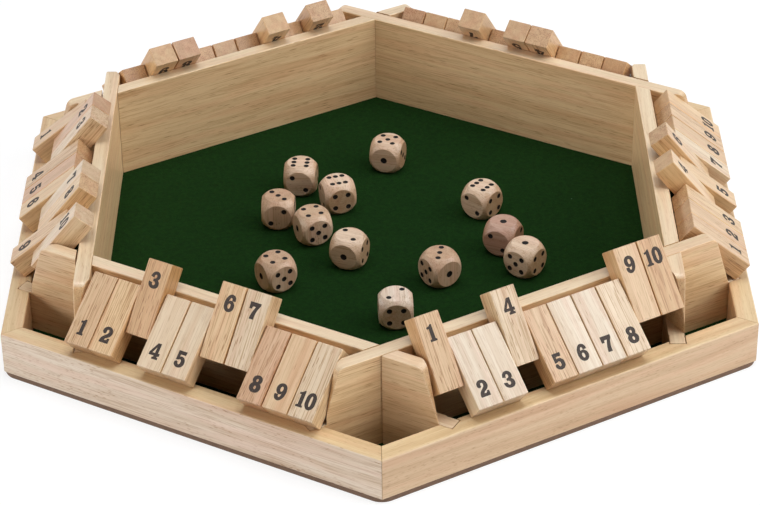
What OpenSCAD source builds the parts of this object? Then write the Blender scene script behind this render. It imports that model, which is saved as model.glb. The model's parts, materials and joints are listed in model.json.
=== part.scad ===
// Shut the box game for six players: a felted six-sided tray, a row of ten numbered tiles that
// turn on a rod outside each tray wall, a low rail all round, and twelve loose dice.
// Millimetres, +Z up. The origin is the middle of the underside, and two corners lie on the Y axis.

/* [Tiles] */
// Width of a tile along its row
tile_w = 12.4; // [9:0.1:16]
// Thickness of a tile
tile_t = 10.4; // [7:0.1:12.5]
// Length of a tile, from its blank end to its number end
tile_l = 35; // [29:0.5:44]
// Distance from the blank end to the middle of the rod hole
hole_from_end = 10.6; // [8:0.1:13]
// Rounding of a tile's edges
tile_round = 0.8; // [0.3:0.1:1.5]
// Gap between neighbouring tiles
tile_gap = 0.5; // [0.3:0.1:1.5]
// How far each row has slid towards its player's right
row_shift = 0.8; // [0:0.1:1.5]

/* [Pivot rods] */
// Diameter of a rod
rod_d = 3; // [2:0.1:4]
// Space all round a rod in a tile's hole
rod_play = 0.1; // [0.05:0.01:0.1]
// Space all round a rod's end in its blind hole
rod_seat_play = 0.05; // [0.02:0.01:0.1]
// Height of the rods above the top of the rail
rod_rise = 19.1; // [16:0.1:23]
// Wood left between a rod's end and the far face of its plate
rod_cover = 1.5; // [1:0.1:2]
// Space between a turning tile's blank end and the wall
swing_gap = 0.7; // [0.4:0.1:2]
// Space left between a tile and what it leans on
stop_gap = 0.1; // [0.05:0.01:0.3]

/* [Walls and corner plates] */
// Thickness of the tray walls and the corner plates
wall_t = 7.2; // [5:0.1:9]
// Height of the walls above the rods
wall_over_rod = 7.4; // [6:0.1:9]
// Rounding of the walls' top edges
wall_round = 0.6; // [0.3:0.1:1.5]
// Length of wall between the end of a row and the corner where two walls' outer faces meet
corner_room = 14.6; // [12:0.1:20]
// Length of a plate's level top beyond the rod
plate_beyond_rod = 5.6; // [4:0.1:7]
// Rounding of a plate's upper outer corner
plate_round = 4; // [2:0.5:5]
// Space between tile 10 and the bevel of the plate beside it
high_plate_gap = 0.55; // [0.3:0.05:1.5]
// Space between tile 1 and the bevel of the plate beside it
low_plate_gap = 1.4; // [0.3:0.05:2]

/* [Outer rail] */
// Height of the rail above the base board
rail_h = 20.7; // [15:0.1:26]
// Thickness of the rail
rail_t = 9.7; // [7:0.1:13]
// Rounding of the rail's top edges
rail_round = 0.8; // [0.3:0.1:2]
// How far a lowered tile's end reaches over the rail
tile_rest = 3.3; // [2:0.1:5]
// Depth of the rail's grooves for the plates
groove_depth = 5.5; // [4:0.1:6.5]
// Space beside and behind a plate in its groove
groove_play = 0.1; // [0.05:0.05:0.5]
// Thickness of the glue in the rail's mitres
glue_line = 0.06; // [0.02:0.01:0.2]

/* [Base and felt] */
// Thickness of the base board
base_t = 2.4; // [2:0.1:6]
// Radius of the base board's corners
base_round = 8; // [3:0.5:15]
// Thickness of the felt
felt_t = 0.5; // [0.3:0.1:2]
// Space between the felt's edge and the rail
felt_gap = 0.2; // [0.1:0.1:1]

/* [Dice] */
// Edge length of a die
die_w = 16; // [12:0.5:18]
// Radius of the flat circle on each face of a die
die_flat_r = 6.6; // [6:0.1:7]
// Diameter of a pip
pip_d = 2.3; // [1.8:0.1:2.6]
// Diameter of the single pip on the one face
one_pip_d = 3; // [2:0.1:4]
// Depth of a pip
pip_deep = 0.4; // [0.2:0.1:0.8]
// Distance of a pip's middle from the middle lines of its face
pip_off = 3.3; // [2.5:0.1:3.6]

/* [Hidden] */
$fn = 48;
SIDES = ["right", "back_right", "back_left", "left", "front_left", "front_right"];
// The tiles that stand up on each side
UP = [[4, 6], [4, 5, 7], [2, 4, 8, 9], [2, 3, 7, 8, 10], [3, 6, 7], [1, 4, 9, 10]];
// Neighbours that share one node on each side
PAIRS = [[[7, 8], [9, 10]], [[1, 2], [9, 10]], [[5, 6], [8, 9]], [[2, 3], [7, 8]], [], []];
// Place, turn, top number and front number of each die
DICE = [
    [5.5, 77.5, -16, 5, 1],
    [-38.5, 56, -6, 6, 2],
    [-20, 38.5, 16, 6, 4],
    [-49, 24.5, -3, 3, 2],
    [-32, 9.5, 22, 4, 5],
    [-14, -12.5, -21, 2, 1],
    [-49, -31.5, 31, 4, 5],
    [51.5, 31.5, -40, 6, 2],
    [60.5, -2.5, -26, 1, 2],
    [70, -22, -37, 1, 5],
    [29, -29.5, 34, 3, 1],
    [7.5, -64, 3, 2, 4]
];
// Direction of each number's face on a die, from one to six
FACES = [[0, 0, 1], [0, -1, 0], [1, 0, 0], [-1, 0, 0], [0, 1, 0], [0, 0, -1]];

// The row, and the walls that follow from it
row_pitch = tile_w + tile_gap;
row_half = 5 * row_pitch;
wall_out = (row_half + corner_room) / tan(30);
wall_in = wall_out - wall_t;
bevel_high = row_half - tile_gap / 2 + row_shift + high_plate_gap;
bevel_low = row_half - tile_gap / 2 - row_shift + low_plate_gap;

// Heights
felt_top = base_t + felt_t;
rail_top = base_t + rail_h;
rod_z = rail_top + rod_rise;
wall_top = rod_z + wall_over_rod;

// The rod stands clear of the wall by the reach of a tile's blank end
rod_from_wall = norm([hole_from_end, tile_t / 2]) + swing_gap;
rod_at = wall_out + rod_from_wall;

// A lowered tile touches the rail's top with its lower end edge
reach = tile_l - hole_from_end;
edge_r = norm([reach - tile_round, tile_t / 2 - tile_round]);
edge_turn = atan2(tile_t / 2 - tile_round, reach - tile_round);
edge_drop = asin((rod_rise - tile_round - stop_gap) / edge_r);
down_turn = edge_drop - edge_turn;

// A raised tile leans with its face on the wall's outer top edge
lean_r = norm([rod_from_wall + wall_round, wall_over_rod - wall_round]);
lean_turn = atan2(wall_over_rod - wall_round, rod_from_wall + wall_round);
up_turn = lean_turn + asin((tile_t / 2 + wall_round + stop_gap) / lean_r);

// The rail is set out from where the lowered tiles rest on it
rail_in = rod_at + edge_r * cos(edge_drop) - tile_rest;
rail_out = rail_in + rail_t;
far = 2 * rail_out;

// Lengths along a wall from the corner where the walls' outer faces meet
wall_half = row_half + corner_room;
plate_top = rod_from_wall / cos(30) + plate_beyond_rod;
plate_foot = (rail_in - wall_out) / cos(30);
plate_end = (rail_in + groove_depth - wall_out) / cos(30);
rod_half = wall_half - (rod_from_wall + rod_d / 2) * tan(30) - rod_cover;

function flat(list) = [for (part = list) each part];
function pair_with(i, n) = [for (p = PAIRS[i]) if (p[0] == n || p[1] == n) p];
function group_of(i, n) = len(pair_with(i, n)) > 0 ? pair_with(i, n)[0] : [n];
function group_name(i, g) = len(g) == 1
    ? str("tile_", SIDES[i], "_", g[0])
    : str("tiles_", SIDES[i], "_", g[0], "_", g[1]);
function is_up(i, n) = len([for (u = UP[i]) if (u == n) u]) > 0;

// Each entry is a side and the tiles of one node
GROUPS = flat([for (i = [0:5]) [for (n = [1:10]) if (group_of(i, n)[0] == n) [i, group_of(i, n)]]]);

// A rectangle with rounded corners, centred
module round_rect(a, b, r) {
    square([a - 2 * r, b], center = true);
    square([a, b - 2 * r], center = true);
    for (x = [-1, 1], y = [-1, 1])
        translate([x * (a / 2 - r), y * (b / 2 - r)]) circle(r);
}

// Extrudes an outline in x and z along y, to both sides
module along_y(h) {
    rotate([90, 0, 0]) linear_extrude(h, center = true) children();
}

// Extrudes an outline in y and z along x
module along_x(h, center = false) {
    rotate([90, 0, 90]) linear_extrude(h, center = center) children();
}

// Places a child on one side: x points out of the game, and y to that player's right
module on_side(i) {
    rotate(60 * i) children();
}

// A child at both neighbouring sides, seen from one side
module at_neighbours() {
    for (turn = [-60, 60]) rotate(turn) children();
}

// Everything further out than a side's plane at x
module beyond(x) {
    translate([x, -far, -far]) cube([far, 2 * far, 3 * far]);
}

// Cross-section in x and z of a board with rounded top edges
module board_section(x, w, z0, z1, r) {
    translate([x, z0]) square([w, z1 - z0 - r]);
    translate([x + r, z0]) square([w - 2 * r, z1 - z0]);
    for (side = [x + r, x + w - r])
        translate([side, z1 - r]) circle(r);
}

// Half the outline of a wall with its plate, in y and z
module half_outline() {
    slope = atan2(wall_top - rail_top, plate_foot - plate_top);
    corner = [wall_half + plate_top - plate_round * tan(slope / 2), wall_top - plate_round];
    translate([0, felt_top]) square([wall_half + plate_end, rail_top - felt_top]);
    polygon([
        [0, felt_top],
        [0, wall_top],
        [corner.x, wall_top],
        corner + plate_round * [sin(slope), cos(slope)],
        [wall_half + plate_foot, rail_top],
        [wall_half + plate_foot, felt_top]
    ]);
    translate(corner) circle(plate_round);
}

// The space above the rail that a side's row of tiles turns in
module row_space() {
    translate([wall_out, -bevel_low, rail_top]) cube([far, bevel_low + bevel_high, far]);
}

// A side's rod, or the hole for it when play is more than 0
module rod(play = 0) {
    translate([rod_at, 0, rod_z])
        rotate([90, 0, 0]) cylinder(h = 2 * (rod_half + play), r = rod_d / 2 + play, center = true);
}

// A side's wall with the plates in line with it, whole from rail to rail
module wall_bar() {
    difference() {
        intersection() {
            translate([wall_in, 0, 0])
                along_x(wall_t) {
                    half_outline();
                    mirror([1, 0]) half_outline();
                }
            along_y(4 * far) board_section(wall_in, wall_t, felt_top, wall_top, wall_round);
        }
        at_neighbours() row_space();
        at_neighbours() rod(rod_seat_play);
    }
}

// A six-sided board with two corners on the Y axis, and corners of radius r
module base_outline(apothem, r) {
    corner = (apothem - r) / cos(30);
    polygon([for (i = [0:5], s = [0, 60])
        corner * [cos(60 * i + 30), sin(60 * i + 30)] + r * [cos(60 * i + s), sin(60 * i + s)]]);
    for (i = [0:5])
        rotate(60 * i + 30) translate([corner, 0]) circle(r);
}

module base_board() {
    color("#5b4335") linear_extrude(base_t) base_outline(rail_out, base_round);
}

// The felt covers the board inside the rail, under the walls too
module felt_mat() {
    color("#1c4a24")
        translate([0, 0, base_t])
            linear_extrude(felt_t)
                rotate(30) circle((rail_in - felt_gap) / cos(30), $fn = 6);
}

// One mitred rail, grooved for the two plates that end in it
module rail() {
    difference() {
        intersection() {
            linear_extrude(rail_top)
                polygon([for (c = [[rail_in, -1], [rail_out, -1], [rail_out, 1], [rail_in, 1]])
                    [c.x, c.y * (c.x * tan(30) - glue_line / 2 / cos(30))]]);
            along_y(2 * far) board_section(rail_in, rail_t, base_t, rail_top, rail_round);
        }
        at_neighbours()
            translate([wall_in - groove_play, 0, 0])
                along_x(wall_t + 2 * groove_play)
                    square([2 * (wall_half + plate_end + groove_play), far], center = true);
    }
}

module outer_rails() {
    color("#dcbf95") for (i = [0:5]) on_side(i) rail();
}

// Three walls run past the corners of the tray, and their ends are plates
module long_walls() {
    color("#d8b98a") for (i = [1, 3, 5]) on_side(i) wall_bar();
}

// The other three walls fit between them
module short_walls() {
    color("#d8b98a")
        for (i = [0, 2, 4]) on_side(i)
            difference() {
                wall_bar();
                at_neighbours() beyond(wall_in);
            }
}

// Six plates carry on the lines of the short walls outside the long ones
module end_plates() {
    color("#d8b98a")
        for (i = [0, 2, 4]) on_side(i)
            intersection() {
                wall_bar();
                at_neighbours() beyond(wall_out);
            }
}

module pivot_rods() {
    color("#b8b8b8") for (i = [0:5]) on_side(i) rod();
}

// One tile about its rod hole, its number end towards +x
module tile() {
    middle = reach - tile_l / 2;
    difference() {
        intersection() {
            translate([-hole_from_end, 0, 0]) along_x(tile_l) round_rect(tile_w, tile_t, tile_round);
            along_y(tile_w) translate([middle, 0]) round_rect(tile_l, tile_t, tile_round);
            translate([middle, 0, -tile_t / 2])
                linear_extrude(tile_t) round_rect(tile_l, tile_w, tile_round);
        }
        rotate([90, 0, 0]) cylinder(h = 2 * tile_w, r = rod_d / 2 + rod_play, center = true);
    }
}

// The tiles of one node, lowered onto the rail or raised against the wall
module tile_group(i, numbers) {
    color("#e3c9a0")
        on_side(i)
            for (n = numbers)
                translate([rod_at, (n - 5.5) * row_pitch + row_shift, rod_z])
                    rotate([0, is_up(i, n) ? up_turn - 180 : down_turn, 0]) tile();
}

// A pair of pips on either side of a face's middle
module pip_pair(place) {
    for (s = [-1, 1]) translate(s * pip_off * place) circle(d = pip_d);
}

// Pips of one face
module pips(n) {
    if (n % 2 == 1) circle(d = n == 1 ? one_pip_d : pip_d);
    if (n == 2 || n > 3) pip_pair([-1, 1]);
    if (n > 2) pip_pair([1, 1]);
    if (n == 6) pip_pair([1, 0]);
}

// A die about its middle, with one on top and two at the front
module die() {
    difference() {
        intersection() {
            cube(die_w, center = true);
            sphere(norm([die_w / 2, die_flat_r]));
        }
        for (n = [1:6])
            multmatrix(face_matrix(FACES[n - 1]))
                translate([0, 0, die_w / 2 - pip_deep]) linear_extrude(die_w) pips(n);
    }
}

// Turns +z to a face's direction
function face_matrix(d) = let (
    side = abs(d.z) == 1 ? [d.z, 0, 0] : cross([0, 0, 1], d),
    up = cross(d, side)
) [
    [side.x, up.x, d.x, 0],
    [side.y, up.y, d.y, 0],
    [side.z, up.z, d.z, 0]
];

// Turns a die so that one number is on top and another faces -y
function die_matrix(top, front) = let (
    z = FACES[top - 1],
    y = -FACES[front - 1],
    x = cross(y, z)
) [[x.x, x.y, x.z, 0], [y.x, y.y, y.z, 0], [z.x, z.y, z.z, 0]];

module dice() {
    color("#c9a27c")
        for (d = DICE)
            translate([d[0], d[1], felt_top + die_w / 2])
                rotate(d[2]) multmatrix(die_matrix(d[3], d[4])) die();
}

base_board();
felt_mat();
outer_rails();
long_walls();
short_walls();
end_plates();
pivot_rods();
dice();
for (g = GROUPS)
    tile_group(g[0], g[1]);
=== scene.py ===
import json
import math
import random

import bmesh
import bpy
from mathutils import Matrix, Vector, noise


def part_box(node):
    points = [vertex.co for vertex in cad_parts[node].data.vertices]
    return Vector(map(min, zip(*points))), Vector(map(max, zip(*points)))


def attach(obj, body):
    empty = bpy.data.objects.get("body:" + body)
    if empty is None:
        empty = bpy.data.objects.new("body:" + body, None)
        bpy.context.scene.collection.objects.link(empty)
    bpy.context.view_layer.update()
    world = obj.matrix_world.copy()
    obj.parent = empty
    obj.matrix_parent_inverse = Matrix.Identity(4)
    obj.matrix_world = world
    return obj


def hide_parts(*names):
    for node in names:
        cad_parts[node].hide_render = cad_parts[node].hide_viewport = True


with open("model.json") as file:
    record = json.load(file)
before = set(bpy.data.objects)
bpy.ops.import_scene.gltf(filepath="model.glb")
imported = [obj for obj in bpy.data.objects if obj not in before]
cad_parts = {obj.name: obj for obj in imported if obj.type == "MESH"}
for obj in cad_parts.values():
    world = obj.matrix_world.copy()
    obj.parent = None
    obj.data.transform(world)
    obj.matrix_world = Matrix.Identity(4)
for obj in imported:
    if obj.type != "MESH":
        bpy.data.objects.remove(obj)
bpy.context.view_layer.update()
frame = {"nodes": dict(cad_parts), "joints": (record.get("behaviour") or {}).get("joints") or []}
chance = random.Random(11)

# The studio: a white sweep, a large soft box overhead, one high on the right, and low ones on the left, the
# front left and the front right. The camera looks down on the front corner through a long lens.
CAMERA_TURN = math.radians(0.026)
CAMERA_DROP = math.radians(32.715)
CAMERA_ROLL = math.radians(-0.801)
CAMERA_AWAY = 1.3159
CAMERA_LENS = 127.8
PHOTO_WIDTH = 760
PIXELS_RIGHT = 1.4
PIXELS_UP = 0.77

sight = Vector((
    math.sin(CAMERA_TURN) * math.cos(CAMERA_DROP),
    math.cos(CAMERA_TURN) * math.cos(CAMERA_DROP),
    -math.sin(CAMERA_DROP),
))
camera_data = bpy.data.cameras.new("camera")
camera_data.lens = CAMERA_LENS
camera_data.shift_x = PIXELS_RIGHT / PHOTO_WIDTH
camera_data.shift_y = PIXELS_UP / PHOTO_WIDTH
camera = bpy.data.objects.new("camera", camera_data)
bpy.context.scene.collection.objects.link(camera)
camera.matrix_world = (
    Matrix.Translation(-CAMERA_AWAY * sight)
    @ sight.to_track_quat("-Z", "Y").to_matrix().to_4x4()
    @ Matrix.Rotation(CAMERA_ROLL, 4, "Z")
)
bpy.context.scene.camera = camera
bpy.context.scene.view_settings.view_transform = "Standard"


class Wire:
    """A socket of a material's nodes. Arithmetic on it adds Math nodes."""

    def __init__(self, tree, socket=None):
        self.tree = tree
        self.socket = socket

    def node(self, kind, inputs=(), output=0, **settings):
        """Adds a node: first its settings, then the values or wires of its inputs."""
        made = self.tree.nodes.new("ShaderNode" + kind)
        for name, setting in settings.items():
            setattr(made, name, setting)
        for name, value in dict(inputs).items():
            if isinstance(value, Wire):
                self.tree.links.new(value.socket, made.inputs[name])
            else:
                made.inputs[name].default_value = value
        return Wire(self.tree, made.outputs[output])

    def maths(self, operation, a, b=0.0):
        return self.node("Math", {0: a, 1: b}, operation=operation)

    def __add__(self, other):
        return self.maths("ADD", self, other)

    def __sub__(self, other):
        return self.maths("SUBTRACT", self, other)

    def __rsub__(self, other):
        return self.maths("SUBTRACT", other, self)

    def __mul__(self, other):
        return self.maths("MULTIPLY", self, other)

    __radd__ = __add__
    __rmul__ = __mul__

    def rise(self, low, high):
        """0 below low, 1 above high and a smooth step between."""
        values = {"Value": self, "From Min": low, "From Max": high}
        return self.node("MapRange", values, interpolation_type="SMOOTHSTEP")

    def stretch(self, *factors):
        """A vector with each part multiplied by its own factor."""
        return self.node("VectorMath", {0: self, 1: factors}, operation="MULTIPLY")

    def shifted(self, by):
        """The sum of two vectors."""
        return self.node("VectorMath", {0: self, 1: by}, operation="ADD")

    def cloud(self, scale, detail, output=0):
        """Soft noise over a place, between 0 and 1."""
        return self.node("TexNoise", {"Vector": self, "Scale": scale, "Detail": detail}, output=output)

    def between(self, colour, other, **settings):
        """A blend of two colours, this wire saying how much of the other."""
        return self.node("Mix", {0: self, 6: colour, 7: other}, output=2, data_type="RGBA", **settings)

    def into(self, *sockets):
        for socket in sockets:
            self.tree.links.new(self.socket, socket)


def colour_of(red, green, blue):
    """A colour as a shader takes it, from the 0 to 255 that it shows at."""
    parts = [value / 255 for value in (red, green, blue)]
    return (*[p / 12.92 if p <= 0.04045 else ((p + 0.055) / 1.055) ** 2.4 for p in parts], 1.0)


def new_finish(name):
    """A material with its Principled shader, and a wire in its node tree to add nodes from."""
    material = bpy.data.materials.new(name)
    material.use_nodes = True
    shader = material.node_tree.nodes["Principled BSDF"]
    return material, shader, Wire(material.node_tree)


def seen_by(tree):
    """1 where the camera sees, straight, by a gloss or through glass, and 0 for the light on things."""
    straight = tree.node("LightPath", output="Is Camera Ray")
    by_gloss = tree.node("LightPath", output="Is Glossy Ray")
    through_glass = tree.node("LightPath", output="Is Transmission Ray")
    return tree.maths("MAXIMUM", tree.maths("MAXIMUM", straight, by_gloss), through_glass)


world = bpy.data.worlds.new("studio_sky")
world.use_nodes = True
bpy.context.scene.world = world
backdrop = world.node_tree.nodes["Background"]
backdrop.inputs["Color"].default_value = (1, 1, 1, 1)
seen_by(Wire(world.node_tree)).into(backdrop.inputs["Strength"])

bpy.ops.mesh.primitive_plane_add(size=14)
floor = bpy.context.object
floor.name = "studio_floor"
paper, paper_shader, paper_tree = new_finish("white_paper")
paper_shader.inputs["Base Color"].default_value = (0.9, 0.9, 0.9, 1)
paper_shader.inputs["Roughness"].default_value = 0.9
paper_glow = paper_tree.node("Emission", {"Color": (1, 1, 1, 1), "Strength": 1.12})
paper_mix = paper_tree.node("MixShader", {
    0: 0.7 * seen_by(paper_tree),
    1: Wire(paper.node_tree, paper_shader.outputs[0]),
    2: paper_glow,
})
paper_mix.into(paper.node_tree.nodes["Material Output"].inputs["Surface"])
floor.data.materials.append(paper)


def soft_box(name, direction, away, width, height, glow, colour=(1, 1, 1)):
    """A lamp that faces the game from one direction, as bright as a sheet of that glow."""
    lamp = bpy.data.lights.new(name, "AREA")
    lamp.shape = "RECTANGLE"
    lamp.size = width
    lamp.size_y = height
    lamp.energy = glow * math.pi * width * height
    lamp.color = colour
    holder = bpy.data.objects.new(name, lamp)
    bpy.context.scene.collection.objects.link(holder)
    place = away * Vector(direction).normalized()
    holder.matrix_world = Matrix.Translation(place) @ place.to_track_quat("Z", "Y").to_matrix().to_4x4()


soft_box("box_overhead", (0, 0, 1), 1.5, 1.1, 1.1, 3.8, (0.96, 1, 1.05))
soft_box("box_right", (0.75, -0.05, 0.65), 1.5, 1.1, 1.1, 3.05, (0.98, 1, 1))
soft_box("box_left", (-1, -0.15, 0.25), 2.0, 1.2, 0.7, 3.75)
soft_box("box_low_left", (-0.85, -0.6, 0.25), 2.0, 1.4, 0.6, 3.2, (1.04, 1, 0.94))
soft_box("box_low_right", (0.85, -0.6, 0.25), 2.0, 1.4, 0.6, 3.2, (1.03, 1, 0.97))


# The base board: thin board, stained dark brown, cut to six sides with rounded corners, under all the rest.
# Only its edge and its underside show.
MITRE = math.radians(30)
BASE_CORNER = 0.008
BASE_EDGE = 0.0004
NEAR = 0.00005

base_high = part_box("base_board")[1]
rail_out = base_high.x
base_top = base_high.z


def only(piece):
    """Makes a piece the only selected object."""
    bpy.ops.object.select_all(action="DESELECT")
    piece.select_set(True)
    bpy.context.view_layer.objects.active = piece


def added(name):
    """Names the primitive that was just added, and puts its size and place into its mesh."""
    piece = bpy.context.object
    piece.name = name
    piece.data.name = name
    only(piece)
    bpy.ops.object.transform_apply(location=True, rotation=True, scale=True)
    return piece


def box_between(name, low, high):
    """A block between two corners, the start of a sawn piece."""
    low, high = Vector(low), Vector(high)
    bpy.ops.mesh.primitive_cube_add(size=1, location=(low + high) / 2, scale=high - low)
    return added(name)


def open_up(piece):
    """Opens a piece in edit mode with all of it selected."""
    only(piece)
    bpy.ops.object.mode_set(mode="EDIT")
    bpy.ops.mesh.select_all(action="SELECT")


def close_up():
    bpy.ops.object.mode_set(mode="OBJECT")


def pick(piece, kind, test):
    """Selects the faces or the edges of an open piece that pass a test."""
    bpy.ops.mesh.select_mode(type=kind)
    bpy.ops.mesh.select_all(action="DESELECT")
    shape = bmesh.from_edit_mesh(piece.data)
    for part in shape.faces if kind == "FACE" else shape.edges:
        if test(part):
            part.select_set(True)
    shape.select_flush_mode()
    bmesh.update_edit_mesh(piece.data)


def middle(edge):
    return (edge.verts[0].co + edge.verts[1].co) / 2


def along(edge):
    return (edge.verts[1].co - edge.verts[0].co).normalized()


def finish_with(piece, kind, **settings):
    """Adds a modifier and applies it."""
    modifier = piece.modifiers.new(kind.lower(), kind)
    for name, value in settings.items():
        setattr(modifier, name, value)
    only(piece)
    bpy.ops.object.modifier_apply(modifier=modifier.name)


def ease_edges(piece, width, angle, rings=2):
    """Takes the sharpness off every edge that turns by more than an angle, and shades the rest smooth."""
    finish_with(piece, "BEVEL", width=width, segments=rings, limit_method="ANGLE",
                angle_limit=math.radians(angle), use_clamp_overlap=True)
    only(piece)
    bpy.ops.object.shade_smooth_by_angle(angle=math.radians(40))
    finish_with(piece, "WEIGHTED_NORMAL", keep_sharp=True)


def belongs(piece, body, node, finish):
    """Gives a finished piece its material, and ties it to the model."""
    piece.data.materials.append(finish)
    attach(piece, body)
    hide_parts(node)


bpy.ops.mesh.primitive_cylinder_add(
    vertices=6,
    radius=rail_out / math.cos(MITRE),
    depth=base_top,
    location=(0, 0, base_top / 2),
)
base = added("base_board_dark")
open_up(base)
pick(base, "EDGE", lambda edge: abs(along(edge).z) > 0.9)
bpy.ops.mesh.bevel(offset=BASE_CORNER * math.tan(MITRE), segments=7, affect="EDGES")
close_up()
ease_edges(base, BASE_EDGE, 60)

stained, stained_shader, stained_tree = new_finish("dark_stain")
board_cloud = stained_tree.node("TexCoord", output="Object").stretch(60, 700, 900).cloud(1.0, 4.0)
board_colour = board_cloud.between(colour_of(92, 68, 52), colour_of(134, 104, 82))
board_colour.into(stained_shader.inputs["Base Color"])
board_bump = stained_tree.node("Bump", {"Height": board_cloud, "Distance": 0.00012, "Strength": 0.6})
board_bump.into(stained_shader.inputs["Normal"])
stained_shader.inputs["Roughness"].default_value = 0.62
belongs(base, "tray", "base_board", stained)


# The felt: a dark green sheet, cut to six sides and glued to the board inside the rail. The walls and the
# corner plates stand on it, and it shows in the tray, in the corner pockets and under the tiles.
FELT_MESH = 0.003
FELT_UNEVEN = 0.00006
FELT_HUMPS = 260

felt_low, felt_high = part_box("felt_mat")
felt_thick = felt_high.z - felt_low.z
felt_half = felt_high.x
felt_reach = felt_high.y

cells = round(2 * felt_reach / FELT_MESH)
bpy.ops.mesh.primitive_grid_add(x_subdivisions=cells, y_subdivisions=cells, size=2 * felt_reach + FELT_MESH,
                                location=(0, 0, felt_high.z))
felt = added("felt_sheet")
open_up(felt)
for side in range(6):
    way = Vector((math.cos(math.radians(60 * side)), math.sin(math.radians(60 * side)), 0))
    bpy.ops.mesh.select_all(action="SELECT")
    bpy.ops.mesh.bisect(plane_co=felt_half * way, plane_no=way, clear_outer=True)
close_up()
for point in felt.data.vertices:
    dip = 0.5 + 0.5 * noise.noise(point.co * FELT_HUMPS)
    point.co.z -= FELT_UNEVEN * min(1.0, max(0.0, dip))
finish_with(felt, "SOLIDIFY", thickness=felt_thick - FELT_UNEVEN, offset=-1)
only(felt)
bpy.ops.object.shade_smooth_by_angle(angle=math.radians(40))

green, green_shader, green_tree = new_finish("dark_green_felt")
felt_place = green_tree.node("TexCoord", output="Object")
felt_swirl = felt_place.cloud(260.0, 3.0, output="Color")
matted = felt_place.shifted(felt_swirl.stretch(0.004, 0.004, 0.004))
fibres = matted.stretch(900, 3400, 900).cloud(1.0, 3.0)
cross_fibres = matted.stretch(3400, 900, 900).cloud(1.0, 3.0)
clumps = felt_place.cloud(420.0, 2.0)
nap = 0.35 * fibres + 0.35 * cross_fibres + 0.3 * clumps
dyed = nap.rise(0.36, 0.66).between(colour_of(11, 34, 8), colour_of(20, 52, 14))
specks = {"Vector": felt_place, "Scale": 90.0}
lint = 1 - green_tree.node("TexVoronoi", specks, output="Distance").rise(0.01, 0.035)
lint = lint * green_tree.node("TexVoronoi", specks, output="Color").rise(0.74, 0.76)
lint.between(dyed, colour_of(92, 128, 104)).into(green_shader.inputs["Base Color"])
felt_bump = green_tree.node("Bump", {"Height": nap, "Distance": 0.0005, "Strength": 0.5})
felt_bump.into(green_shader.inputs["Normal"])
green_shader.inputs["Roughness"].default_value = 0.95
green_shader.inputs["Specular IOR Level"].default_value = 0.08
belongs(felt, "tray", "felt_mat", green)


# The outer rail: six lengths of pale wood with rounded top edges, mitred and glued at the corners. Each has
# grooves near its ends for the feet of the plates.
RAIL_ROUND = 0.0008
RAIL_EDGE = 0.00025
GROOVE_DEPTH = 0.0055
GROOVE_PLAY = 0.00025
GLUE_LINE = 0.00006
FELT_GAP = 0.0002
WALL_THICK = 0.0072
END_GRAIN_LOSS = (0.25, 0.33, 0.43)
SIDES = ["right", "back_right", "back_left", "left", "front_left", "front_right"]

rail_in = felt_half + FELT_GAP
rail_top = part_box("outer_rails")[1].z
wall_out = -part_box("long_walls")[0].x
wall_in = wall_out - WALL_THICK
wall_half = wall_out * math.tan(MITRE)
plate_end = (rail_in + GROOVE_DEPTH - wall_out) / math.cos(MITRE)


def cut(piece, cutter):
    """Cuts a solid out of a piece. The cutter is used up."""
    finish_with(piece, "BOOLEAN", object=cutter, operation="DIFFERENCE", solver="EXACT")
    bpy.data.objects.remove(cutter)


def turned(piece, angle):
    """Turns a piece's mesh about the middle of the game, in degrees."""
    piece.data.transform(Matrix.Rotation(math.radians(angle), 4, "Z"))
    return piece


def another(piece, name, place):
    """A copy of a piece with its own mesh, at another place."""
    copy = bpy.data.objects.new(name, piece.data.copy())
    copy.data.name = name
    copy.data.transform(place)
    bpy.context.scene.collection.objects.link(copy)
    return copy


def axes_to(x, y, z):
    """The turn that takes the three axes to three directions."""
    return Matrix((x, y, z)).transposed().to_4x4()


def grow(piece, plank, tint, figure=1.0, side_tint=None, side_figure=1.0):
    """Says where each point of a piece lay in its plank, whose x axis is the grain, and gives it its tint.

    End grain is darker. The figure is how strong the streaks are. A side tint and a side figure are for the
    faces across the plank's y axis.
    """
    log = Vector([chance.uniform(-2.0, 2.0) for _ in range(3)])
    points = [plank.inverted() @ v.co + log for v in piece.data.vertices]
    grain = piece.data.attributes.new("grain", "FLOAT_VECTOR", "POINT")
    grain.data.foreach_set("vector", [value for point in points for value in point])
    fibres = plank.to_3x3().col[0]
    across = plank.to_3x3().col[1]
    colours = []
    for face in piece.data.polygons:
        side = side_tint and abs(face.normal.dot(across)) > 0.7
        end = min(1.0, max(0.0, 2.5 * abs(face.normal.dot(fibres)) - 1.2))
        shade = [part * (1 - end * loss) for part, loss in zip(side_tint if side else tint, END_GRAIN_LOSS)]
        colours += [*shade, side_figure if side else figure] * face.loop_total
    corners = piece.data.attributes.new("tint", "FLOAT_COLOR", "CORNER")
    corners.data.foreach_set("color", colours)


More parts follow.
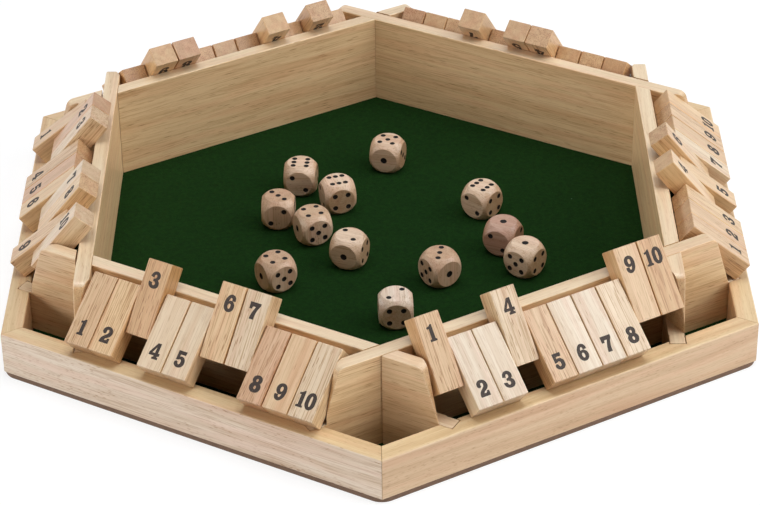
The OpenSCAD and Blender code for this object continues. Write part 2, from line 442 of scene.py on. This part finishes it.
def wood(name, streaks, pore_length, pore_width, pore_share, pore_tone):
    """Pale wood under satin lacquer: broad bands, fine streaks and short brown pores along the grain."""
    material, shader, tree = new_finish(name)
    grain = tree.node("Attribute", output="Vector", attribute_name="grain")
    tint = tree.node("Attribute", output="Color", attribute_name="tint")
    figure = tree.node("Attribute", output="Alpha", attribute_name="tint")
    sway = grain.stretch(18, 60, 60).cloud(1.0, 1.0, output="Color")
    swayed = grain.shifted(sway.stretch(0, 0.0022, 0.0022))
    bands = swayed.stretch(9, 300, 300).cloud(1.0, 2.0)
    blush = swayed.stretch(14, 190, 190).cloud(1.0, 1.0)
    lines = swayed.stretch(45, 1900, 1900).cloud(1.0, 3.0)
    flecks = swayed.stretch(260, 2600, 2600).cloud(1.0, 2.0)
    rings = tree.node("TexWave", {
        "Vector": swayed.stretch(0.4, 1, 1),
        "Scale": 95.0,
        "Distortion": 5.0,
        "Detail": 2.0,
        "Detail Scale": 0.6,
    }, output="Fac", wave_type="RINGS", rings_direction="X")
    pore_cells = {"Vector": swayed.stretch(1 / pore_length, 1 / pore_width, 1 / pore_width), "Scale": 1.0}
    near_pore = tree.node("TexVoronoi", pore_cells, output="Distance")
    pore_luck = tree.node("TexVoronoi", pore_cells, output="Color")
    clusters = bands.rise(0.4, 0.62)
    pores = (1 - near_pore.rise(0.13, 0.33)) * pore_luck.rise(1 - pore_share, 1.12 - pore_share)
    pores = pores * (0.45 + 0.55 * clusters) * figure

    def darken(colour, share, tone):
        return share.between(colour, (*tone, 1), blend_type="MULTIPLY")

    colour = darken(tint, bands.rise(0.35, 0.7), (0.88, 0.82, 0.76))
    colour = darken(colour, blush.rise(0.42, 0.68), (1.0, 0.93, 0.92))
    colour = darken(colour, streaks * figure * lines.rise(0.47, 0.68), (0.7, 0.58, 0.46))
    colour = darken(colour, 0.5 * rings, (0.93, 0.89, 0.84))
    colour = darken(colour, 0.6 * flecks.rise(0.56, 0.72), (0.86, 0.79, 0.72))
    colour = darken(colour, pores, pore_tone)
    colour.into(shader.inputs["Base Color"])
    height = 0.35 * lines + 0.15 * flecks - pores
    bump = tree.node("Bump", {"Height": height, "Distance": 0.00012, "Strength": 0.7})
    bump.into(shader.inputs["Normal"])
    (0.4 + 0.12 * lines + 0.2 * pores).into(shader.inputs["Roughness"])
    shader.inputs["Coat Weight"].default_value = 0.5
    shader.inputs["Coat Roughness"].default_value = 0.28
    return material


RAIL_TINT = colour_of(229, 202, 158)[:3]
RAIL_FACE = colour_of(228, 197, 160)[:3]
RAIL_FACE_FRONT_LEFT = colour_of(235, 217, 197)[:3]
rail_wood = wood("rail_wood", 0.5, 0.004, 0.0008, 0.55, (0.72, 0.58, 0.48))

rail_blank = box_between(
    "rail_blank",
    (rail_in, -rail_out, base_top),
    (rail_out, rail_out, rail_top),
)
open_up(rail_blank)
for hand in (-1, 1):
    bpy.ops.mesh.select_all(action="SELECT")
    bpy.ops.mesh.bisect(
        plane_co=(0, -hand * GLUE_LINE / 2 / math.cos(MITRE), 0),
        plane_no=(-math.sin(MITRE), hand * math.cos(MITRE), 0),
        use_fill=True,
        clear_outer=True,
    )
pick(rail_blank, "EDGE", lambda edge: abs(along(edge).y) > 0.99 and abs(middle(edge).z - rail_top) < NEAR)
bpy.ops.mesh.bevel(offset=RAIL_ROUND, segments=4, affect="EDGES")
close_up()
bar_half = wall_half + plate_end + GROOVE_PLAY
for hand in (-60, 60):
    cut(rail_blank, turned(box_between(
        "groove_cutter",
        (wall_in - GROOVE_PLAY, -bar_half, 0),
        (wall_out + GROOVE_PLAY, bar_half, 2 * rail_top),
    ), hand))
ease_edges(rail_blank, RAIL_EDGE, 40)

# One length is paler outside, and more figured
rail_plank = axes_to((0, 1, 0), (1, 0, 0), (0, 0, -1))
for number, side in enumerate(SIDES):
    turn = Matrix.Rotation(math.radians(60 * number), 4, "Z")
    rail = another(rail_blank, "rail_" + side, turn)
    if side == "front_left":
        grow(rail, turn @ rail_plank, RAIL_TINT, 0.6, RAIL_FACE_FRONT_LEFT, 1.5)
    else:
        grow(rail, turn @ rail_plank, RAIL_TINT, 0.6, RAIL_FACE, 0.7)
    belongs(rail, "tray", "outer_rails", rail_wood)
bpy.data.objects.remove(rail_blank)


# The tray walls and the corner plates: three long boards run past the tray's corners and end in plates. Three
# short boards fit between them, and six loose plates carry on their lines. The plates slope to the rail, are
# bevelled beside the tiles and have blind holes for the rods.
BUTT_GAP = 0.0006
JOINT_GAP = 0.00018
WALL_ROUND = 0.0006
PLATE_ROUND = 0.004
PLATE_BEYOND_ROD = 0.0056
HIGH_PLATE_GAP = 0.00055
LOW_PLATE_GAP = 0.0014
ROD_PLAY = 0.00005
HOLE_FLOOR = 0.0015
ROW_DEPTH = 0.06
CUT_ABOVE = 0.00002
CUT_PAST = 0.01
WALL_TINT = colour_of(244, 213, 167)[:3]
PLATE_TINT = colour_of(233, 203, 162)[:3]
TOP_TINT = colour_of(235, 212, 178)[:3]

wall_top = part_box("long_walls")[1].z
felt_top = felt_high.z
flips = {joint["child"]: joint for joint in frame["joints"] if joint["type"] == "hinge"}
right_flip = flips["tile_right_1"]
rod_at = right_flip["pos_m"][0]
rod_z = right_flip["pos_m"][2]
rod_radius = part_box("pivot_rods")[1].z - rod_z
plate_foot = (rail_in - wall_out) / math.cos(MITRE)
plate_top = (rod_at - wall_out) / math.cos(MITRE) + PLATE_BEYOND_ROD
plate_slope = math.atan2(wall_top - rail_top, plate_foot - plate_top)
bevel_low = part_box("tile_right_1")[0].y - LOW_PLATE_GAP
bevel_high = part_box("tiles_right_9_10")[1].y + HIGH_PLATE_GAP
rod_half = wall_half - (rod_at - wall_out + rod_radius) * math.tan(MITRE) - HOLE_FLOOR


def wall_bar(name):
    """A board right across the game on the +x side, with a shaped plate at each end."""
    foot = wall_half + plate_foot
    bar = box_between(
        name,
        (wall_in, -wall_half - plate_end, felt_top),
        (wall_out, wall_half + plate_end, rail_top),
    )
    open_up(bar)
    for hand in (-1, 1):
        bpy.ops.mesh.select_all(action="SELECT")
        bpy.ops.mesh.bisect(plane_co=(0, hand * foot, 0), plane_no=(0, 1, 0))
    pick(bar, "FACE", lambda face: face.normal.z > 0.9 and abs(face.calc_center_median().y) < foot / 2)
    bpy.ops.mesh.extrude_region_move(TRANSFORM_OT_translate={"value": (0, 0, wall_top - rail_top)})
    bpy.ops.transform.resize(value=(1, (wall_half + plate_top) / foot, 1), center_override=(0, 0, wall_top))
    pick(bar, "EDGE", lambda edge: abs(along(edge).x) > 0.99 and abs(middle(edge).z - wall_top) < NEAR)
    bpy.ops.mesh.bevel(offset=PLATE_ROUND * math.tan(plate_slope / 2), segments=7, affect="EDGES")
    bpy.ops.mesh.select_all(action="SELECT")
    bpy.ops.mesh.dissolve_limited(angle_limit=math.radians(0.5))
    pick(bar, "EDGE", lambda edge: abs(along(edge).x) < 0.5 and middle(edge).z > felt_top + NEAR)
    bpy.ops.mesh.bevel(offset=WALL_ROUND, segments=4, affect="EDGES")
    close_up()
    for hand in (-60, 60):
        cut(bar, turned(box_between(
            "row_cutter",
            (wall_out, bevel_low, rail_top + CUT_ABOVE),
            (wall_out + ROW_DEPTH, bevel_high, wall_top + CUT_PAST),
        ), hand))
        bpy.ops.mesh.primitive_cylinder_add(
            vertices=32,
            radius=rod_radius + ROD_PLAY,
            depth=2 * (rod_half + ROD_PLAY),
            location=(rod_at, 0, rod_z),
            rotation=(math.pi / 2, 0, 0),
        )
        cut(bar, turned(added("rod_cutter"), hand))
    return bar


def saw(piece, across, hand, keep_beyond):
    """Saws a bar square to the long wall next to it, whose face is that far across, and keeps one part."""
    way = Vector((math.cos(math.radians(60)), hand * math.sin(math.radians(60)), 0))
    open_up(piece)
    bpy.ops.mesh.bisect(plane_co=across * way, plane_no=way, use_fill=True, clear_outer=not keep_beyond,
                        clear_inner=keep_beyond)
    close_up()


wall_wood = wood("wall_wood", 0.62, 0.009, 0.0009, 0.5, (0.66, 0.52, 0.4))

long_wall = wall_bar("long_wall")
short_wall = another(long_wall, "short_wall", Matrix())
for hand in (-1, 1):
    saw(short_wall, wall_in - JOINT_GAP, hand, False)
plates = {}
for hand, name in ((-1, "low"), (1, "high")):
    plates[name] = another(long_wall, "plate_" + name, Matrix())
    saw(plates[name], wall_out + BUTT_GAP, hand, True)
for piece in (long_wall, short_wall, *plates.values()):
    only(piece)
    bpy.ops.object.shade_smooth_by_angle(angle=math.radians(25))
    finish_with(piece, "WEIGHTED_NORMAL", keep_sharp=True)

wall_plank = axes_to((0, 1, 0), (0, 0, 1), (1, 0, 0))
for number, side in enumerate(SIDES):
    turn = Matrix.Rotation(math.radians(60 * number), 4, "Z")
    if number % 2:
        wall = another(long_wall, "long_wall_" + side, turn)
        grow(wall, turn @ wall_plank, WALL_TINT, 1.0, TOP_TINT, 0.5)
        belongs(wall, "tray", "long_walls", wall_wood)
        continue
    wall = another(short_wall, "short_wall_" + side, turn)
    grow(wall, turn @ wall_plank, WALL_TINT, 1.0, TOP_TINT, 0.5)
    belongs(wall, "tray", "short_walls", wall_wood)
    for name, blank in plates.items():
        plate = another(blank, "plate_%s_%s" % (side, name), turn)
        grow(plate, turn @ wall_plank, PLATE_TINT, 1.2, TOP_TINT, 0.6)
        belongs(plate, "tray", "end_plates", wall_wood)
for piece in (long_wall, short_wall, *plates.values()):
    bpy.data.objects.remove(piece)


# The pivot rods: six drawn steel rods, one through each row of tiles, held in blind holes in the plates.
# They show as a glint in the gaps between the tiles.
steel, steel_shader, steel_tree = new_finish("drawn_steel")
steel_cloud = steel_tree.node("TexCoord", output="Object").cloud(900.0, 3.0)
steel_colour = steel_cloud.between(colour_of(176, 174, 170), colour_of(214, 213, 210))
steel_colour.into(steel_shader.inputs["Base Color"])
(0.22 + 0.2 * steel_cloud).into(steel_shader.inputs["Roughness"])
steel_shader.inputs["Metallic"].default_value = 1.0
rods = frame["nodes"]["pivot_rods"]
rods.data.materials.clear()
rods.data.materials.append(steel)


# The tiles: sixty small blocks of pale wood in different tints, with eased edges, drilled across near one end
# for the rod. Their edges are crisper than in the CAD, so they are a hair shorter, to end at the same place.
TILE_LENGTH = 0.03482
TILE_THICK = 0.0104
TILE_ROUND = 0.00045
TILE_PLAY = 0.00013
HOLE_FROM_END = 0.0106
HOLE_RADIUS = 0.0016
HOLE_EDGE = 0.00015
TONES = {
    "cream": colour_of(228, 211, 189),
    "straw": colour_of(226, 195, 154),
    "pale": colour_of(230, 208, 179),
    "tan": colour_of(221, 190, 153),
    "rosy": colour_of(213, 177, 144),
    "honey": colour_of(208, 171, 128),
}
# The long sides of each tile are painted warmer and more golden: painted warm bounce light and painted shade
# from the neighbouring tiles
SIDE_PAINTED_BOUNCE = (1.06, 1.0, 0.86)
# Each row from its number 1 to its number 10, a plus sign where the streaks are strong
ROW_TONES = {
    "right": "tan+ tan straw+ straw straw straw+ pale tan tan+ straw",
    "back_right": "honey straw+ straw tan+ tan tan+ tan tan+ tan rosy+",
    "back_left": "tan tan+ straw straw honey+ tan tan+ rosy straw honey+",
    "left": "tan rosy pale+ tan+ rosy straw pale straw+ tan+ pale",
    "front_left": "tan+ straw+ honey+ pale pale straw+ pale+ rosy+ tan pale+",
    "front_right": "tan+ cream cream pale+ tan+ cream cream pale+ tan honey+",
}

tile_low, tile_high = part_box("tile_right_1")
tile_width = tile_high.y - tile_low.y
number_end = TILE_LENGTH - HOLE_FROM_END

tile_blank = box_between(
    "tile_blank",
    (-HOLE_FROM_END, -tile_width / 2, -TILE_THICK / 2),
    (number_end, tile_width / 2, TILE_THICK / 2),
)
open_up(tile_blank)
bpy.ops.mesh.bevel(offset=TILE_ROUND, segments=3, affect="EDGES")
close_up()
bpy.ops.mesh.primitive_cylinder_add(vertices=28, radius=HOLE_RADIUS, depth=2 * tile_width,
                                    rotation=(math.pi / 2, 0, 0))
cut(tile_blank, added("hole_cutter"))
ease_edges(tile_blank, HOLE_EDGE, 50, rings=1)

tile_wood = wood("tile_wood", 0.85, 0.007, 0.0007, 0.55, (0.58, 0.42, 0.3))

# Where each tile stands: its node, and its place, in which x runs to the number end and y to the right of
# the player on its side
pitch = (Vector(flips["tile_right_2"]["pos_m"]) - Vector(right_flip["pos_m"])).length
places = {}
for node, joint in flips.items():
    words = node.split("_")[1:]
    side = "_".join(word for word in words if not word.isdigit())
    numbers = [int(word) for word in words if word.isdigit()]
    pivot = Vector(joint["pos_m"])
    right = -Vector(joint["axis"])
    low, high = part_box(node)
    reach = (low + high) / 2 - pivot
    reach -= reach.dot(right) * right
    x = reach.normalized()
    for number in numbers:
        shift = (number - sum(numbers) / len(numbers)) * pitch
        place = axes_to(x, right, x.cross(right))
        place.translation = pivot + shift * right
        places[side, number] = (node, place)

for (side, number), (node, place) in places.items():
    place.translation += chance.uniform(-TILE_PLAY, TILE_PLAY) * place.col[1].to_3d()
    tile = another(tile_blank, "tile_wood_%s_%d" % (side, number), place)
    word = ROW_TONES[side].split()[number - 1]
    light = chance.uniform(0.96, 1.03)
    tint = [light * part for part in TONES[word.strip("+")][:3]]
    # Painted warm bounce light and shade on the tile's long sides
    side_tint = [part * warm for part, warm in zip(tint, SIDE_PAINTED_BOUNCE)]
    figure = chance.uniform(1.3, 1.7) if "+" in word else chance.uniform(0.5, 0.8)
    grow(tile, place, tint, figure, side_tint, figure)
    belongs(tile, node, node, tile_wood)
bpy.data.objects.remove(tile_blank)


# The numbers: bold numerals with slab feet, printed on both broad faces of each tile in dark brown ink that
# soaks unevenly into the wood. Their outlines are drawn in millimetres from the foot, and C marks a corner.
NUMERAL_HIGH = 0.0073
NUMERAL_FROM_END = 0.005
NUMERAL_BOLD = 0.18
INK_THICK = 0.00001
NUMERAL_WANDER = 0.00035
C = "corner"
ONE = [
    (-1.65, 0, C), (1.3, 0, C), (1.3, 0.55, C), (0.75, 0.85, C), (0.7, 7.2, C), (0.15, 7.2, C),
    (-0.5, 6.55), (-1.65, 6.25, C), (-1.65, 5.65, C), (-0.75, 5.75, C), (-0.75, 0.85, C),
    (-1.65, 0.55, C),
]
NINE = [
    (2.3, 5.0), (2.3, 3.2), (1.6, 1.2), (0.4, 0.0), (-0.6, -0.15), (-1.8, 0.4), (-2.35, 1.5),
    (-2.35, 2.25, C), (-0.95, 2.3, C), (-0.85, 1.5), (-0.2, 0.95), (0.45, 1.6), (0.8, 3.1, C),
    (0.4, 2.85), (-0.7, 2.65), (-1.9, 3.4), (-2.4, 4.9), (-1.8, 6.6), (-0.1, 7.4), (1.5, 6.8),
]
NINE_EYE = [(-0.05, 6.25), (0.75, 4.9), (-0.05, 3.6), (-0.8, 4.9)]
NOUGHT = [
    (0, -0.15), (1.75, 0.95), (2.25, 3.6), (1.75, 6.25), (0, 7.35), (-1.75, 6.25), (-2.25, 3.6),
    (-1.75, 0.95),
]
NOUGHT_EYE = [
    (0, 1.05), (0.5, 1.8), (0.68, 3.6), (0.5, 5.4), (0, 6.15), (-0.5, 5.4), (-0.68, 3.6), (-0.5, 1.8),
]


def moved(outline, across):
    return [(point[0] + across, *point[1:]) for point in outline]


NUMERALS = {
    1: ([ONE], []),
    2: ([[
        (-2.4, 0, C), (1.95, 0, C), (2.0, 2.05, C), (1.2, 2.05, C), (0.95, 1.35), (0.2, 1.15),
        (-0.7, 1.25, C), (-0.1, 2.1), (1.2, 2.9), (2.15, 3.95), (2.3, 5.3), (1.6, 6.75), (0.0, 7.35),
        (-1.6, 6.9), (-2.35, 5.6), (-2.1, 4.6), (-1.4, 4.3), (-0.8, 4.75), (-0.85, 5.5), (-0.4, 6.2),
        (0.35, 6.2), (0.75, 5.4), (0.55, 4.5), (-0.5, 3.4), (-1.9, 2.1), (-2.35, 1.0),
    ]], []),
    3: ([[
        (-2.1, 5.1, C), (-1.5, 6.5), (0.2, 7.3), (1.8, 6.6), (2.25, 5.3), (1.95, 4.3), (1.3, 3.7, C),
        (2.1, 3.0), (2.45, 1.8), (1.95, 0.5), (0.1, -0.15), (-1.7, 0.45), (-2.45, 1.6), (-2.5, 2.45, C),
        (-1.05, 2.15, C), (-0.85, 1.3), (-0.1, 0.95), (0.7, 1.5), (0.7, 2.5), (0.2, 3.0), (-0.6, 3.15, C),
        (-0.6, 3.95, C), (0.3, 4.15), (0.8, 4.8), (0.7, 5.8), (0.1, 6.2), (-0.55, 5.8), (-0.8, 4.75, C),
    ]], []),
    4: ([[
        (-0.45, 0, C), (2.25, 0, C), (2.25, 0.55, C), (1.6, 0.85, C), (1.6, 1.6, C), (2.5, 1.6, C),
        (2.5, 2.65, C), (1.6, 2.65, C), (1.6, 7.2, C), (0.1, 7.2, C), (-2.5, 2.55, C), (-2.5, 1.6, C),
        (0.2, 1.6, C), (0.2, 0.85, C), (-0.45, 0.55, C),
    ]], [[(0.25, 2.65, C), (0.25, 5.45, C), (-1.3, 2.65, C)]]),
    5: ([[
        (-1.95, 7.2, C), (1.9, 7.2, C), (1.75, 5.85, C), (-0.8, 5.85, C), (-0.85, 4.45, C), (0.4, 4.75),
        (1.8, 3.95), (2.35, 2.35), (1.8, 0.65), (0.1, -0.15), (-1.6, 0.4), (-2.25, 1.6), (-1.8, 2.3),
        (-1.1, 2.2), (-0.8, 1.5), (-0.3, 1.0), (0.4, 1.2), (0.75, 2.2), (0.55, 3.3), (-0.2, 3.65),
        (-0.9, 3.35), (-1.95, 3.15, C),
    ]], []),
    7: ([[
        (-2.6, 7.2, C), (2.4, 7.2, C), (2.3, 6.3), (1.55, 4.9), (0.95, 3.2), (0.6, 1.4), (0.55, 0, C),
        (-1.35, 0, C), (-1.05, 1.6), (-0.4, 3.5), (0.5, 5.55, C), (-1.0, 5.6), (-1.4, 5.2),
        (-1.55, 4.5, C), (-2.6, 4.5, C),
    ]], []),
    8: ([[
        (0, 7.35), (1.65, 6.75), (2.2, 5.35), (1.6, 3.85, C), (2.4, 2.9), (2.45, 1.4), (1.6, 0.2),
        (0, -0.2), (-1.6, 0.2), (-2.45, 1.4), (-2.4, 2.9), (-1.6, 3.85, C), (-2.2, 5.35), (-1.65, 6.75),
    ]], [
        [(0, 6.1), (0.6, 5.2), (0, 4.35), (-0.6, 5.2)],
        [(0, 2.95), (0.65, 1.95), (0, 0.95), (-0.65, 1.95)],
    ]),
    9: ([NINE], [NINE_EYE]),
    10: ([moved(ONE, -2.6), moved(NOUGHT, 1.85)], [moved(NOUGHT_EYE, 1.85)]),
}


def bolder(loop, by):
    """An outline with every point moved outward by a distance, corners as sharp as they were."""
    points = [Vector(point[:2]) for point in loop]
    edges = [(after - point).normalized() for point, after in zip(points, points[1:] + points[:1])]
    turn = sum(point.cross(after) for point, after in zip(points, points[1:] + points[:1]))
    normals = [math.copysign(1, turn) * Vector((edge.y, -edge.x)) for edge in edges]
    swollen = []
    for point, corner, before, after in zip(points, loop, normals[-1:] + normals[:-1], normals):
        place = point + by * (before + after) / max(0.5, 1 + before.dot(after))
        swollen.append((*place, *corner[2:]))
    return swollen


def numeral_mesh(number):
    """A numeral as a thin solid in the xy plane, its foot at y 0."""
    outline = bpy.data.curves.new("numeral", "CURVE")
    outline.dimensions = "2D"
    outline.fill_mode = "BOTH"
    outline.extrude = INK_THICK
    outline.resolution_u = 5
    outlines, eyes = NUMERALS[number]
    loops = [bolder(loop, NUMERAL_BOLD) for loop in outlines]
    loops += [bolder(eye, -NUMERAL_BOLD / 2) for eye in eyes]
    for loop in loops:
        spline = outline.splines.new("BEZIER")
        spline.bezier_points.add(len(loop) - 1)
        spline.use_cyclic_u = True
        for point, corner in zip(spline.bezier_points, loop):
            point.co = (corner[0] / 1000, corner[1] / 1000, 0)
            kind = "VECTOR" if len(corner) > 2 else "AUTO"
            point.handle_left_type = kind
            point.handle_right_type = kind
    numeral = bpy.data.objects.new("numeral", outline)
    bpy.context.scene.collection.objects.link(numeral)
    only(numeral)
    bpy.ops.object.convert(target="MESH")
    return bpy.context.object


ink, ink_shader, ink_tree = new_finish("number_ink")
ink_place = ink_tree.node("TexCoord", output="Object")
ink_soak = ink_place.cloud(2600.0, 3.0)
ink_thin = ink_soak.rise(0.52, 0.75) * (0.35 + 0.65 * ink_place.cloud(300.0, 1.0).rise(0.4, 0.7))
ink_thin.between(colour_of(52, 42, 37), colour_of(114, 94, 80)).into(ink_shader.inputs["Base Color"])
ink_bump = ink_tree.node("Bump", {"Height": ink_soak, "Distance": 0.00005, "Strength": 0.5})
ink_bump.into(ink_shader.inputs["Normal"])
ink_shader.inputs["Roughness"].default_value = 0.55
ink_shader.inputs["Specular IOR Level"].default_value = 0.28

numerals = {number: numeral_mesh(number) for number in NUMERALS}
half_turn = Matrix.Translation((0, NUMERAL_HIGH, 0)) @ Matrix.Rotation(math.pi, 4, "Z")
numerals[6] = another(numerals[9], "numeral", half_turn)
for (side, number), (node, place) in places.items():
    wander = chance.uniform(-NUMERAL_WANDER, NUMERAL_WANDER)
    foot = number_end - NUMERAL_FROM_END
    upper = Matrix.Translation((foot, wander, TILE_THICK / 2)) @ axes_to((0, 1, 0), (-1, 0, 0), (0, 0, 1))
    foot -= NUMERAL_HIGH
    lower = Matrix.Translation((foot, -wander, -TILE_THICK / 2)) @ axes_to((0, 1, 0), (1, 0, 0), (0, 0, -1))
    name = "number_%s_%d" % (side, number)
    pair = [another(numerals[number], name, place @ face) for face in (upper, lower)]
    bpy.ops.object.select_all(action="DESELECT")
    for numeral in pair:
        numeral.select_set(True)
    bpy.context.view_layer.objects.active = pair[0]
    bpy.ops.object.join()
    printed = bpy.context.object
    printed.data.materials.append(ink)
    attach(printed, node)
for numeral in numerals.values():
    bpy.data.objects.remove(numeral)


# The dice: twelve loose wooden dice, tumbled until a round flat is left on each face, with drilled pips in
# black paint. They lie on the felt as they fell, and one is redder than the others.
DIE = 0.016
DIE_EDGE = 0.00015
FLAT_RADIUS = 0.0066
PIP_RADIUS = 0.0013
ONE_PIP_RADIUS = 0.00165
PIP_DEEP = 0.0004
PIP_OFF = 0.0033
DIE_TINTS = [colour_of(229, 203, 177), colour_of(221, 191, 164), colour_of(237, 219, 201)]
RED_TINT = colour_of(189, 153, 133)
# Where each die lies, in millimetres, its turn, in degrees, and its top and front numbers
THROW = [
    (5.5, 77.5, -16, 5, 1), (-38.5, 56, -6, 6, 2), (-20, 38.5, 16, 6, 4), (-49, 24.5, -3, 3, 2),
    (-32, 9.5, 22, 4, 5), (-14, -12.5, -21, 2, 1), (-49, -31.5, 31, 4, 5), (51.5, 31.5, -40, 6, 2),
    (60.5, -2.5, -26, 1, 2), (70, -22, -37, 1, 5), (29, -29.5, 34, 3, 1), (7.5, -64, 3, 2, 4),
]
RED_DIE = 9
DIE_TONES = [1, 0, 0, 1, 0, 0, 1, 0, 0, 0, 1, 2]
# The directions of a die's six faces, from one pip to six
FACES = [Vector(way) for way in ((0, 0, 1), (0, -1, 0), (1, 0, 0), (-1, 0, 0), (0, 1, 0), (0, 0, -1))]


def pips_of(number):
    """The places of a face's pips, in its own x and y."""
    spots = [(0, 0)] if number % 2 else []
    if number == 2 or number > 3:
        spots += [(-1, 1), (1, -1)]
    if number > 2:
        spots += [(1, 1), (-1, -1)]
    if number == 6:
        spots += [(1, 0), (-1, 0)]
    return spots


def facing(way):
    """The turn that takes +z to a face's direction, as the dice are drilled."""
    side = Vector((way.z, 0, 0)) if abs(way.z) == 1 else Vector((0, 0, 1)).cross(way)
    return axes_to(side, way.cross(side), way)


die_wood = wood("die_wood", 0.6, 0.0022, 0.0006, 0.5, (0.6, 0.46, 0.37))
paint, paint_shader, paint_tree = new_finish("black_paint")
paint_cloud = paint_tree.node("TexCoord", output="Object").cloud(1800.0, 2.0)
paint_cloud.between(colour_of(14, 11, 10), colour_of(30, 24, 22)).into(paint_shader.inputs["Base Color"])
paint_shader.inputs["Roughness"].default_value = 0.6
paint_shader.inputs["Specular IOR Level"].default_value = 0.15

die_blank = box_between("die_blank", [-DIE / 2] * 3, [DIE / 2] * 3)
bpy.ops.mesh.primitive_uv_sphere_add(segments=72, ring_count=36, radius=math.hypot(DIE / 2, FLAT_RADIUS))
ball = added("ball")
finish_with(die_blank, "BOOLEAN", object=ball, operation="INTERSECT", solver="EXACT")
bpy.data.objects.remove(ball)
ease_edges(die_blank, DIE_EDGE, 25, rings=1)
die_blank.data.materials.append(die_wood)
for number, way in enumerate(FACES, 1):
    radius = ONE_PIP_RADIUS if number == 1 else PIP_RADIUS
    drill = (radius**2 + PIP_DEEP**2) / 2 / PIP_DEEP
    for x, y in pips_of(number):
        bpy.ops.mesh.primitive_uv_sphere_add(
            segments=24,
            ring_count=36,
            radius=drill,
            location=(PIP_OFF * x, PIP_OFF * y, DIE / 2 - PIP_DEEP + drill),
        )
        pip = added("pip_drill")
        pip.data.transform(facing(way))
        pip.data.materials.append(paint)
        finish_with(die_blank, "BOOLEAN", object=pip, operation="DIFFERENCE", solver="EXACT",
                    material_mode="TRANSFER")
        bpy.data.objects.remove(pip)
only(die_blank)
bpy.ops.object.shade_smooth_by_angle(angle=math.radians(32))
finish_with(die_blank, "WEIGHTED_NORMAL", keep_sharp=True)

for number, (x, y, turn, top, front) in enumerate(THROW, 1):
    up = FACES[top - 1]
    back = -FACES[front - 1]
    place = Matrix.Translation((x / 1000, y / 1000, felt_top + DIE / 2))
    place = place @ Matrix.Rotation(math.radians(turn), 4, "Z")
    place = place @ Matrix((back.cross(up), back, up)).to_4x4()
    die = another(die_blank, "die_%d" % number, place)
    tint = RED_TINT if number == RED_DIE else DIE_TINTS[DIE_TONES[number - 1]]
    grow(die, place, tint[:3], 1.2)
    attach(die, "dice")
    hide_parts("dice")
bpy.data.objects.remove(die_blank)
